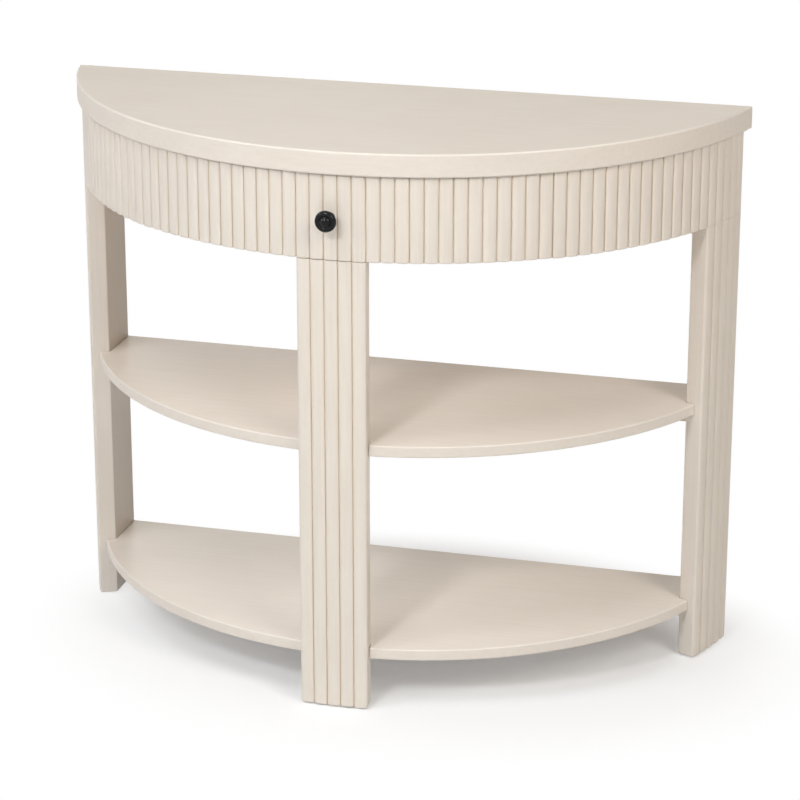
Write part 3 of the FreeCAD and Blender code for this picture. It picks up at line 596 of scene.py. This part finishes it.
def one_reed(start, size):
    """A closed strip with a flattish crown, upright, with its crest towards -Y."""
    grid = start.node("GeometryNodeMeshGrid",
                      {"Size X": 1, "Size Y": 1, "Vertices X": COLUMNS, "Vertices Y": ROWS})
    spot = start.node("GeometryNodeInputPosition")
    x, y = [start.node("ShaderNodeSeparateXYZ", {0: spot}, output=axis) for axis in "XY"]
    column = (x + 0.5) * (COLUMNS - 1)
    row = (y + 0.5) * (ROWS - 1)

    back_middle = (column > FRONT_COLUMNS - 0.5) * (column < FRONT_COLUMNS + 0.5)
    back_again = column > FRONT_COLUMNS + 0.5
    across = (column * (2 / (FRONT_COLUMNS - 1)) - 1) * (1 - back_again) - back_again
    nearest = start.math("MINIMUM", row, ROWS - 1 - row)
    kept = (1 - back_middle) * (nearest > 0.5)
    share = start.math("MAXIMUM", (nearest - 1) / (END_ROWS - 1), 0.0)
    turn = start.math("MINIMUM", share, 1.0) * (math.pi / 2)
    inset = size["Ease"] * (1 - start.math("SINE", turn))
    along = size["Ease length"] * (1 - start.math("COSINE", turn))

    sweep = (across + 1) * (math.pi / 2)
    swing = start.math("COSINE", sweep)
    reach = start.math("POWER", start.math("ABSOLUTE", swing), CROWN) * start.math("SIGN", swing)
    offset = (inset - size["Width"] / 2) * reach * kept
    swell = start.math("POWER", start.math("ABSOLUTE", start.math("SINE", sweep)), CROWN)
    rise = (size["Height"] - inset) * swell * kept
    lower = row < ROWS / 2
    level = lower * (size["Low"] + along) + (1 - lower) * (size["High"] - along)
    place = start.node("ShaderNodeCombineXYZ", {"X": offset, "Y": 0 - rise, "Z": level})

    depth = start.node("GeometryNodeStoreNamedAttribute",
                       {"Geometry": grid, "Name": "groove", "Value": 1 - rise / size["Height"]},
                       data_type="FLOAT", domain="POINT")
    bent = start.node("GeometryNodeSetPosition", {"Geometry": depth, "Position": place})
    return crisp(start, start.node("GeometryNodeMergeByDistance", {"Geometry": bent, "Distance": WELD}))


def reed_row():
    tree, size = new_tree("reed_row", REED_INPUTS)
    start = Wire(tree)
    angle = (start.node("GeometryNodeInputIndex") + size["First"]) * size["Pitch"]
    seat = start.math("SQRT", size["Core radius"] * size["Core radius"] - size["Width"] * size["Width"] / 4)
    place = start.node("ShaderNodeCombineXYZ", {"X": seat * start.math("SINE", angle),
                                                "Y": size["Centre"] - seat * start.math("COSINE", angle)})
    points = start.node("GeometryNodePoints", {"Count": size["Count"]})
    spread = start.node("GeometryNodeSetPosition", {"Geometry": points, "Position": place})
    facing = start.node("ShaderNodeCombineXYZ", {"Z": angle})
    turned = start.node("FunctionNodeEulerToRotation", {"Euler": facing})
    copies = start.node("GeometryNodeInstanceOnPoints",
                        {"Points": spread, "Instance": one_reed(start, size), "Rotation": turned})
    whole = start.node("GeometryNodeRealizeInstances", {"Geometry": copies})
    painted = start.node("GeometryNodeSetMaterial", {"Geometry": whole, "Material": size["Paint"]})
    start.node("NodeGroupOutput", {"Geometry": painted})
    return tree


reed_tree = reed_row()
print("reed tree with", len(reed_tree.nodes), "nodes")

# %% [markdown]
# Reeds are numbered from the middle of the drawer front, so a row needs only its first number and its count.
# The row on the drawer front rides with the drawer.

# %% Set the reeds round the curve
REED_GAP = 0.6 * MM
REED_EASE = 0.8 * MM
REED_EASE_LENGTH = 3.0 * MM
reed_width = 2 * core_radius * math.sin(reed_pitch / 2) - REED_GAP
drawer_end = DRAWER_REEDS // 2
row_end = drawer_end + SIDE_REEDS
REED_ROWS = {
    "left_apron_reeds": ("frame", -row_end, SIDE_REEDS),
    "drawer_front_reeds": ("drawer", -drawer_end, DRAWER_REEDS),
    "right_apron_reeds": ("frame", drawer_end + 1, SIDE_REEDS),
}

for node, (body, first, count) in REED_ROWS.items():
    low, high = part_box(node)
    row = grown("eased_" + node, reed_tree,
                {"Count": count, "First": first, "Pitch": reed_pitch, "Centre": centre_y,
                 "Core radius": core_radius, "Width": reed_width, "Height": crest_radius - core_radius,
                 "Low": low.z, "High": high.z, "Ease": REED_EASE, "Ease length": REED_EASE_LENGTH,
                 "Paint": paint["Z"]})
    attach(row, body)
    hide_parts(node)
    print(row.name, count, "reeds", len(row.data.polygons), "faces")

# %% [markdown]
# ## Legs
#
# A leg is a thick post with five reeds on its face. Strip and core are sanded and painted together, so no
# joint shows, and the flat sides run round into the outer reeds. That calls for one skin: the post's outline
# is drawn as points in plan, reeds first, then lifted from foot to top with its ends eased. Each point
# remembers how deep in a groove it lies, for the glaze.

# %% Draw a leg's outline
LEG_REEDS = 5
REED_STEPS = 16
SIDE_ROUND = 1.5 * MM
ROUND_STEPS = 4
reed_height = crest_radius - core_radius
seat_radius = math.sqrt(core_radius ** 2 - reed_width ** 2 / 4)


def on_arc(radius, angle):
    """A point in plan, by its radius about the shared centre and its angle from the front."""
    return Vector((radius * math.sin(angle), centre_y - radius * math.cos(angle)))


def reed_points(number, bare_left, bare_right):
    """One reed's section in plan, and how deep in a groove each point lies. A bare side has no groove."""
    angle = number * reed_pitch
    along = Vector((math.cos(angle), math.sin(angle)))
    outwards = Vector((math.sin(angle), -math.cos(angle)))
    for step in range(REED_STEPS + 1):
        sweep = math.pi * step / REED_STEPS
        rise = abs(math.sin(sweep)) ** CROWN
        side = -math.copysign(abs(math.cos(sweep)) ** CROWN, math.cos(sweep))
        bare = bare_left if side < 0 else bare_right
        half = (reed_width + REED_GAP * bare) / 2
        point = on_arc(seat_radius, angle) + side * half * along + rise * reed_height * outwards
        yield point, (1 - rise) * (not bare)


def rounded_corner(before, corner, after):
    """A small bend in place of a corner."""
    first = corner + (before - corner).normalized() * SIDE_ROUND
    last = corner + (after - corner).normalized() * SIDE_ROUND
    for step in range(ROUND_STEPS + 1):
        share = step / ROUND_STEPS
        yield first.lerp(corner, share).lerp(corner.lerp(last, share), share), 0.0


def reeded_face(first):
    """The five reeds of a leg in plan, from left to right."""
    points = []
    for number in range(LEG_REEDS):
        points += reed_points(first + number, number == 0, number == LEG_REEDS - 1)
    return points


def leg_outline(first, corners):
    """The reeded face, then these corners round the back of the post."""
    points = reeded_face(first)
    ring = [points[-1][0], *corners, points[0][0]]
    for before, corner, after in zip(ring, ring[1:], ring[2:]):
        points += rounded_corner(before, corner, after)
    return points


front_half = LEG_REEDS / 2 * reed_pitch
leg_inner = (centre_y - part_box("front_leg_core")[1].y) / math.cos(front_half)
side_start = half_span - LEG_REEDS * reed_pitch
leg_low, leg_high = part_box("right_leg_core")
front_corners = [on_arc(leg_inner, front_half), on_arc(leg_inner, -front_half)]
right_corners = [Vector((leg_low.x, leg_high.y)), on_arc(leg_inner, side_start)]
front_outline = leg_outline(-(LEG_REEDS // 2), front_corners)
right_outline = leg_outline(row_end - LEG_REEDS + 1, right_corners)
left_outline = [(Vector((-point.x, point.y)), groove) for point, groove in reversed(right_outline)]
print(f"reed height {reed_height / MM:.2f} mm, inner radius {leg_inner:.4f}")
print("a side post has", len(right_outline), "points in plan")

# %% [markdown]
# Posts and the knob are rings of points with faces between them. One helper lays those faces. Another turns
# any built shape into an object: its curves are shaded smooth, and edges past a set angle stay crisp.

# %% Helpers for built shapes
def skin(shape, rings):
    """Faces from each ring of points to the next, and a lid on the first ring."""
    for under, over in zip(rings, rings[1:]):
        for left, right in zip(range(len(under)), [*range(1, len(under)), 0]):
            shape.faces.new((under[left], under[right], over[right], over[left]))
    shape.faces.new(reversed(rings[0]))


def finish_mesh(shape, name, finish):
    """Turns a built shape into a linked object with soft curves and crisp corners."""
    mesh = bpy.data.meshes.new(name)
    shape.to_mesh(mesh)
    shape.free()
    mesh.shade_smooth()
    mesh.set_sharp_from_angle(angle=SHARP)
    mesh.materials.append(finish)
    piece = bpy.data.objects.new(name, mesh)
    scene.collection.objects.link(piece)
    piece.modifiers.new("flat faces stay flat", "WEIGHTED_NORMAL").keep_sharp = True
    return piece


print("rings can be skinned")

# %% [markdown]
# A post is its outline at a stack of levels. At the lowest levels the outline is drawn in to round the foot,
# and at the uppermost ones to ease the edge at the top.

# %% Raise the legs
FOOT_EASE = 1.8 * MM
FOOT_EASE_LENGTH = 3.4 * MM
HEAD_EASE = 0.3 * MM


def ease_profile(low, high):
    """How far the outline is drawn in at each level, from the foot to the top."""
    turns = [math.pi / 2 * step / (END_ROWS - 1) for step in range(END_ROWS)]
    rounding = [(1 - math.sin(turn), 1 - math.cos(turn)) for turn in turns]
    foot = [(inset * FOOT_EASE, low + up * FOOT_EASE_LENGTH) for inset, up in rounding]
    head = [(inset * HEAD_EASE, high - up * HEAD_EASE) for inset, up in rounding]
    return foot + head[::-1]


def drawn_in(points, inset):
    """The outline moved inwards, each point square to its neighbours."""
    for before, point, after in zip(points[-1:] + points[:-1], points, points[1:] + points[:1]):
        along = (after - before).normalized()
        yield point - inset * Vector((along.y, -along.x))


def post(name, outline, low, high):
    """A closed post with this outline, and its glaze in the grooves."""
    shape = bmesh.new()
    glaze_and_shade = shape.verts.layers.float.new("groove")
    points = [point for point, groove in outline]
    rings = []
    for inset, level in ease_profile(low, high):
        ring = [shape.verts.new((*point, level)) for point in drawn_in(points, inset)]
        for corner, (point, groove) in zip(ring, outline):
            corner[glaze_and_shade] = groove
        rings.append(ring)
    skin(shape, rings)
    shape.faces.new(rings[-1])
    return finish_mesh(shape, name, paint["Z"])


for leg, outline in {"left": left_outline, "front": front_outline, "right": right_outline}.items():
    low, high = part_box(leg + "_leg_core")
    piece = post(leg + "_leg_post", outline, low.z, high.z)
    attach(piece, "frame")
    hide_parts(leg + "_leg_core", leg + "_leg_reeds")
    print(piece.name, len(piece.data.polygons), "faces")

# %% [markdown]
# ## Boards with eased edges
#
# No board keeps a knife edge: sanding and paint round every arris by half a millimetre or so, and that line
# of light along an edge is what makes a thing look real. A bevel on a copy of the imported board gives it. Only
# long sharp edges are taken, so the rims of screw holes stay as they are, and weighted normals keep the flats
# flat. The cleats sit in shade under the shelves, and the darker tan of the groove glaze all over them is
# painted shade. The cleats are hardly seen, so they got the tan glaze all over in place of the last coat.

# %% Ease the boards
SHORTEST_EDGE = 3 * MM
FLAT = math.radians(0.2)
EASE_STEPS = 3
ROUND_PROFILE = 0.5


def eased(node, width, finish, body):
    """A copy of a packed board with its long sharp edges rounded."""
    shape = bmesh.new()
    shape.from_mesh(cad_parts[node].data)
    bmesh.ops.remove_doubles(shape, verts=shape.verts, dist=WELD)
    bmesh.ops.dissolve_limit(shape, angle_limit=FLAT, verts=shape.verts, edges=shape.edges)
    arrises = [edge for edge in shape.edges if edge.is_manifold
               and edge.calc_face_angle() > SHARP and edge.calc_length() > SHORTEST_EDGE]
    bmesh.ops.bevel(shape, geom=arrises, offset=width, segments=EASE_STEPS, profile=ROUND_PROFILE,
                    affect="EDGES", clamp_overlap=True)
    piece = finish_mesh(shape, "eased_" + node, finish)
    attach(piece, body)
    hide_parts(node)
    return piece


PAINTED_EASE = 0.8 * MM
CLEAT_PAINTED_SHADE = 1.0
LEGS = ("left", "front", "right")
painted_boards = {"back_rail": "X", "left_apron_core": "Z", "right_apron_core": "Z"}
for board in ("deck", "middle_shelf", "lower_shelf"):
    painted_boards.update({f"{leg}_{board}_cleat": "X" if leg == "front" else "Y" for leg in LEGS})
for node, along in painted_boards.items():
    piece = eased(node, PAINTED_EASE, paint[along], "frame")
    # The cleats sit in shade under the shelves, and the glaze tan all over them is painted shade.
    if node.endswith("_cleat"):
        glaze_and_shade = piece.data.attributes.new("groove", "FLOAT", "FACE")
        glaze_and_shade.data.foreach_set("value", [CLEAT_PAINTED_SHADE] * len(piece.data.polygons))
eased("drawer_front_core", PAINTED_EASE, paint["Z"], "drawer")
print(len(painted_boards) + 1, "painted boards eased")

# %% [markdown]
# The bare boards inside have finer edges than the painted ones. Each gets the lacquer of its own grain
# direction, and the drawer's boards ride with the drawer.

# %% Ease the bare boards
BARE_EASE = 0.5 * MM
bare_frame = {"deck": "X", "top_blocks": "X", "left_runner_panel": "Y", "right_runner_panel": "Y"}
bare_drawer = {"drawer_left_side": "Y", "drawer_right_side": "Y", "drawer_back": "X", "drawer_bottom": "X",
               "drawer_corner_blocks": "Z"}
for body, boards in (("frame", bare_frame), ("drawer", bare_drawer)):
    for node, along in boards.items():
        eased(node, BARE_EASE, wood[along], body)
print(len(bare_frame) + len(bare_drawer), "bare boards eased")

# %% [markdown]
# ## The knob
#
# A turned knob is a profile swept round an axis. From the seat it runs along a short neck, swells to the
# rim, rolls over a rounded ring into a shallow valley, and ends in a button. The profile is a list of pairs:
# a share of the largest radius and a share of the whole reach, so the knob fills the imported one's box.

# %% Turn the knob
KNOB_STEPS = 64
BUTTON_STEPS = 10
KNOB_NECK = [(0.54, 0.0), (0.54, 0.06), (0.51, 0.08), (0.42, 0.12), (0.39, 0.2), (0.39, 0.32)]
KNOB_SWELL = [(0.46, 0.4), (0.62, 0.46), (0.82, 0.52), (0.95, 0.59), (1.0, 0.67), (1.0, 0.73)]
KNOB_RING = [(0.97, 0.79), (0.91, 0.85), (0.82, 0.88), (0.72, 0.89)]
KNOB_VALLEY = [(0.63, 0.882), (0.56, 0.866), (0.52, 0.85)]
KNOB_TURNING = KNOB_NECK + KNOB_SWELL + KNOB_RING + KNOB_VALLEY
BUTTON_RADIUS = 0.5
BUTTON_LEVEL = 0.88


def turned(name, profile, radius, seat, reach, finish):
    """A profile of radius and level shares, swept round an axis that runs forwards from its seat."""
    shape = bmesh.new()
    turns = [2 * math.pi * step / KNOB_STEPS for step in range(KNOB_STEPS)]
    rings = []
    for wide, far in profile:
        middle = seat + Vector((0, -far * reach, 0))
        rings.append([shape.verts.new(middle + wide * radius * Vector((math.cos(turn), 0, math.sin(turn))))
                      for turn in turns])
    skin(shape, rings)
    tip = shape.verts.new(seat + Vector((0, -reach, 0)))
    for left, right in zip(rings[-1], rings[-1][1:] + rings[-1][:1]):
        shape.faces.new((left, right, tip))
    return finish_mesh(shape, name, finish)


shares = [1 - step / BUTTON_STEPS for step in range(BUTTON_STEPS)]
button = [(BUTTON_RADIUS * share, BUTTON_LEVEL + (1 - BUTTON_LEVEL) * (1 - share ** 2)) for share in shares]
knob_low, knob_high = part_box("knob")
knob_seat = Vector((0, knob_high.y, (knob_low.z + knob_high.z) / 2))
knob = turned("turned_knob", KNOB_TURNING + button, knob_high.x, knob_seat, knob_high.y - knob_low.y, black)
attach(knob, "drawer")
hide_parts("knob")
print(knob.name, len(knob.data.polygons), "faces")

# %% [markdown]
# ## Screws
#
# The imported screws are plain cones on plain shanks. Each set is made again with a cross drive in every head.
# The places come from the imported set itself: each screw is an island of its mesh, its longest side is its
# axis, and its wider end is the head.

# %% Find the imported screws
NARROW = 1.02


def islands(mesh):
    """The points of each separate shell of a mesh."""
    shape = bmesh.new()
    shape.from_mesh(mesh)
    bmesh.ops.remove_doubles(shape, verts=shape.verts, dist=WELD)
    waiting = set(shape.verts)
    while waiting:
        found = [waiting.pop()]
        for vert in found:
            near = {edge.other_vert(vert) for edge in vert.link_edges} & waiting
            waiting -= near
            found += near
        yield [vert.co.copy() for vert in found]
    shape.free()


def screw_place(points):
    """Where a screw's head begins, which way it faces, and its length, radii and depth of head."""
    low = Vector(map(min, zip(*points)))
    high = Vector(map(max, zip(*points)))
    middle = (low + high) / 2
    length = max(high - low)
    along = list(high - low).index(length)
    axis = Vector([float(number == along) for number in range(len(AXES))])
    levels = [(point - middle).dot(axis) for point in points]
    radii = [(point - middle - level * axis).length for point, level in zip(points, levels)]
    head = max(radii)
    side = math.copysign(1, sum(level for level, radius in zip(levels, radii) if radius * NARROW > head))
    shank = max(radius for level, radius in zip(levels, radii) if level * side < -length / 2 + WELD)
    neck = max(level * side for level, radius in zip(levels, radii) if radius < shank * NARROW)
    sizes = {"Length": length, "Head": head, "Shank": shank, "Head depth": length / 2 - neck}
    return tuple(middle + neck * side * axis), tuple(side * axis), sizes


COUNTERSUNK = {"cleat_board_screws": "frame", "cleat_leg_screws": "frame", "runner_screws": "frame",
               "top_screws": "frame", "drawer_bottom_screws": "drawer", "drawer_front_screws": "drawer"}
ROUND_HEADED = {"frame_slide_screws": "frame", "drawer_slide_screws": "drawer", "knob_screw": "drawer"}
screw_places = {}
for node in (*COUNTERSUNK, *ROUND_HEADED):
    places = [screw_place(points) for points in islands(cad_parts[node].data)]
    screw_places[node] = sorted(places, key=lambda place: place[0])
    sizes = screw_places[node][0][-1]
    print(node, len(places), {name: round(size / MM, 2) for name, size in sizes.items()})

# %% [markdown]
# The tree makes one screw and sets it at each place. A countersunk head widens towards its top and a round
# head narrows, so both are a cone. Two crossed bars are cut out of it for the driver, and each screw stops at
# its own turn, as driven screws do.

# %% Drive the screws
HEAD_SIDES = 32
SHANK_SIDES = 16
DRIVE_LENGTH = 1.25
DRIVE_WIDTH = 0.28
DRIVE_DEPTH = 0.55
ROUND_TOP = 0.72
SPIN_SEED = 7
# The Random Value node has a set of sockets for each kind of value. These are its sockets for plain numbers.
RANDOM_LOW, RANDOM_HIGH, RANDOM_SEED, RANDOM_RESULT = 2, 3, 8, 1
SCREW_NUMBERS = ("Length", "Shank", "Head top", "Head under", "Head depth")
SCREW_INPUTS = {**dict.fromkeys(SCREW_NUMBERS, "Float"), "Finish": "Material"}


def one_screw(start, size):
    """An upright screw with its neck at the origin."""
    def moved(shape, rise):
        upwards = start.node("ShaderNodeCombineXYZ", {"Z": rise})
        return start.node("GeometryNodeTransform", {"Geometry": shape, "Translation": upwards})

    blank = start.node("GeometryNodeMeshCone",
                       {"Vertices": HEAD_SIDES, "Radius Top": size["Head top"],
                        "Radius Bottom": size["Head under"], "Depth": size["Head depth"]})
    reach = size["Head top"] * DRIVE_LENGTH
    width = size["Head top"] * DRIVE_WIDTH
    depth = size["Head depth"] * (2 * DRIVE_DEPTH)
    bars = []
    for x, y in ((reach, width), (width, reach)):
        extent = start.node("ShaderNodeCombineXYZ", {"X": x, "Y": y, "Z": depth})
        bars.append(moved(start.node("GeometryNodeMeshCube", {"Size": extent}), size["Head depth"]))
    head = start.node("GeometryNodeMeshBoolean", {"Mesh 1": blank, "Mesh 2": bars}, operation="DIFFERENCE",
                      solver="EXACT")
    below = size["Length"] - size["Head depth"]
    shank = start.node("GeometryNodeMeshCylinder",
                       {"Vertices": SHANK_SIDES, "Radius": size["Shank"], "Depth": below})
    return start.node("GeometryNodeJoinGeometry", {"Geometry": [head, moved(shank, below * -0.5)]})


def screw_set():
    tree, size = new_tree("screw_set", SCREW_INPUTS)
    start = Wire(tree)
    facing = start.node("GeometryNodeInputNamedAttribute", {"Name": "facing"}, data_type="FLOAT_VECTOR")
    upright = start.node("FunctionNodeAlignRotationToVector", {"Vector": facing}, axis="Z")
    spin = start.node("FunctionNodeRandomValue",
                      {RANDOM_LOW: 0.0, RANDOM_HIGH: math.pi, RANDOM_SEED: SPIN_SEED}, output=RANDOM_RESULT)
    about = start.node("ShaderNodeCombineXYZ", {"Z": spin})
    turn = start.node("FunctionNodeEulerToRotation", {"Euler": about})
    placed = start.node("FunctionNodeRotateRotation", {"Rotation": upright, "Rotate By": turn},
                        rotation_space="LOCAL")
    copies = start.node("GeometryNodeInstanceOnPoints",
                        {"Points": size["Geometry"], "Instance": one_screw(start, size), "Rotation": placed})
    whole = start.node("GeometryNodeRealizeInstances", {"Geometry": copies})
    shaded = crisp(start, whole)
    plated = start.node("GeometryNodeSetMaterial", {"Geometry": shaded, "Material": size["Finish"]})
    start.node("NodeGroupOutput", {"Geometry": plated})
    return tree


screw_tree = screw_set()
for node, places in screw_places.items():
    seeds = bpy.data.meshes.new(node + "_places")
    spots, directions, measures = zip(*places)
    seeds.from_pydata(spots, [], [])
    facing = seeds.attributes.new("facing", "FLOAT_VECTOR", "POINT")
    facing.data.foreach_set("vector", [number for direction in directions for number in direction])
    sizes = {**measures[0], "Finish": steel}
    head = sizes.pop("Head")
    sizes["Head top"] = head if node in COUNTERSUNK else head * ROUND_TOP
    sizes["Head under"] = sizes["Shank"] if node in COUNTERSUNK else head
    driven = grown("driven_" + node, screw_tree, sizes, seeds)
    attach(driven, COUNTERSUNK.get(node) or ROUND_HEADED[node])
    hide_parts(node)
    print(driven.name, len(driven.data.polygons), "faces")

# %% [markdown]
# ## Pieces that keep their imported shape
#
# Top, shelves, slides, dowels and glides keep the shape they have in the imported model, so they only change
# their finish. The top and shelves have their grain running from side to side. The faces of their rounded
# edges that face upwards are marked for a painted highlight, a paler cream in the paint.

# %% Finish the other pieces
HIGHLIGHT_LOW, HIGHLIGHT_HIGH = 0.2, 0.97


def dress(node, finish):
    """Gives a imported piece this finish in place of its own."""
    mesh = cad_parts[node].data
    mesh.materials.clear()
    mesh.materials.append(finish)


def paint_edge_highlight(node):
    """Marks the faces of a board between its flat top and its upright edge, for a painted highlight."""
    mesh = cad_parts[node].data
    rubbed = mesh.attributes.new("rubbed", "FLOAT", "FACE")
    marks = [float(HIGHLIGHT_LOW < face.normal.z < HIGHLIGHT_HIGH) for face in mesh.polygons]
    rubbed.data.foreach_set("value", marks)


BOARDS = ("top_panel", "middle_shelf", "lower_shelf")
# The rounded edges of the top and shelves get a painted highlight.
for node in BOARDS:
    paint_edge_highlight(node)
kept = {"leg_dowels": wood["Z"], "foot_glides": plastic}
kept.update({node: paint["X"] for node in BOARDS})
kept.update({node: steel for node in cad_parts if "_slide_" in node and not node.endswith("screws")})
for node, finish in kept.items():
    dress(node, finish)
print(len(kept), "packed pieces finished")
